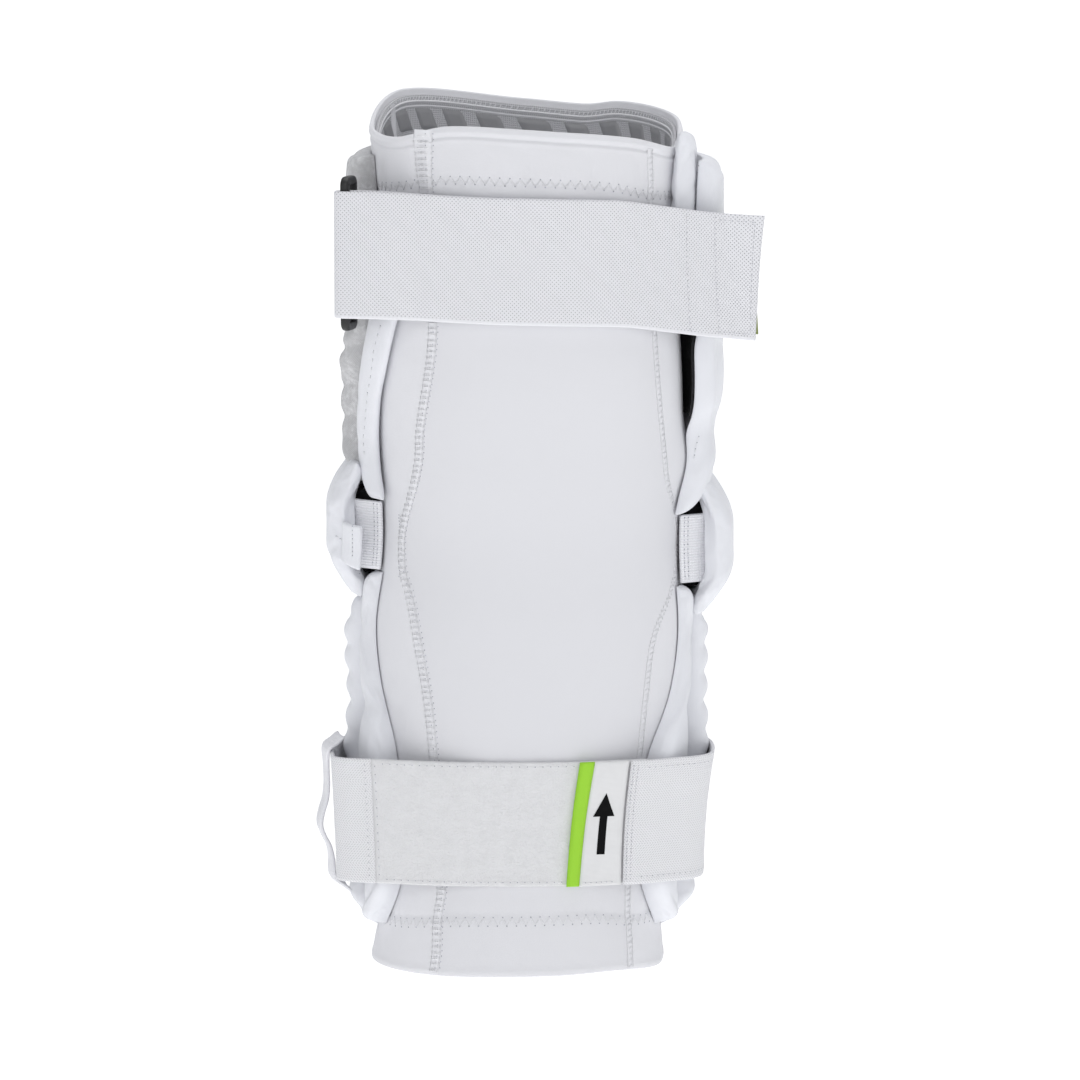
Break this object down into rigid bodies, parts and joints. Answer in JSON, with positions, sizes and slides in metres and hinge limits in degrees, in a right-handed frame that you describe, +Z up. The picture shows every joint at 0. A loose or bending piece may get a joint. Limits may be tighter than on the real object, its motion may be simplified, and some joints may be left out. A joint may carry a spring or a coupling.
{
  "type": "lacrosse arm pad",
  "caption": "Arm pad: stretch sleeve with an upper arm pad, a domed elbow cap and a ribbed forearm pad, closed by wide elastic straps.",
  "frame": {"origin": "on the arm's axis at the elbow, where the pad sits on a worn arm", "axes": "+Z up the arm to the shoulder, +Y through the elbow cap to the outer side, +X to the right as seen from the strap side"},
  "size_m": [0.1769, 0.1353, 0.3522],
  "materials": {
    "sleeve_fabric": "smooth stretch knit",
    "gripper_mesh": "mesh with silicone grip",
    "black_lining": "brushed lining",
    "pad_fabric": "foam-backed stretch fabric",
    "heather_fabric": "mottled knit",
    "knit_elastic": "knitted elastic webbing",
    "loop_pile": "fuzzy loop pile",
    "hook_tape": "woven tape",
    "satin_tab": "satin weave",
    "green_edge": "woven edge",
    "black_plastic": "satin moulded"
  },
  "bodies": {
    "root": {"sleeve": "sleeve_fabric", "cuff_gripper_band": "gripper_mesh", "upper_pad_lining": "black_lining", "upper_pad": "pad_fabric", "upper_pad_side_panel": "heather_fabric", "upper_pad_flap_left": "pad_fabric", "upper_pad_roll_right": "pad_fabric", "elbow_cap_liner": "black_lining", "elbow_cap": "pad_fabric", "elbow_band_left": "knit_elastic", "elbow_band_right": "knit_elastic", "elbow_tab_left": "pad_fabric", "forearm_pad": "pad_fabric", "forearm_roll_left": "pad_fabric", "forearm_roll_right": "pad_fabric", "upper_strap": "knit_elastic", "strap_hook_tab": "hook_tape", "strap_loop": "black_plastic", "strap_loop_keeper": "pad_fabric", "lower_strap_left": "knit_elastic", "lower_pile_strip": "loop_pile", "lower_strap_right": "knit_elastic", "lower_strap_keeper": "pad_fabric", "pull_tab": "satin_tab", "pull_tab_edge": "green_edge"}
  },
  "joints": []
}
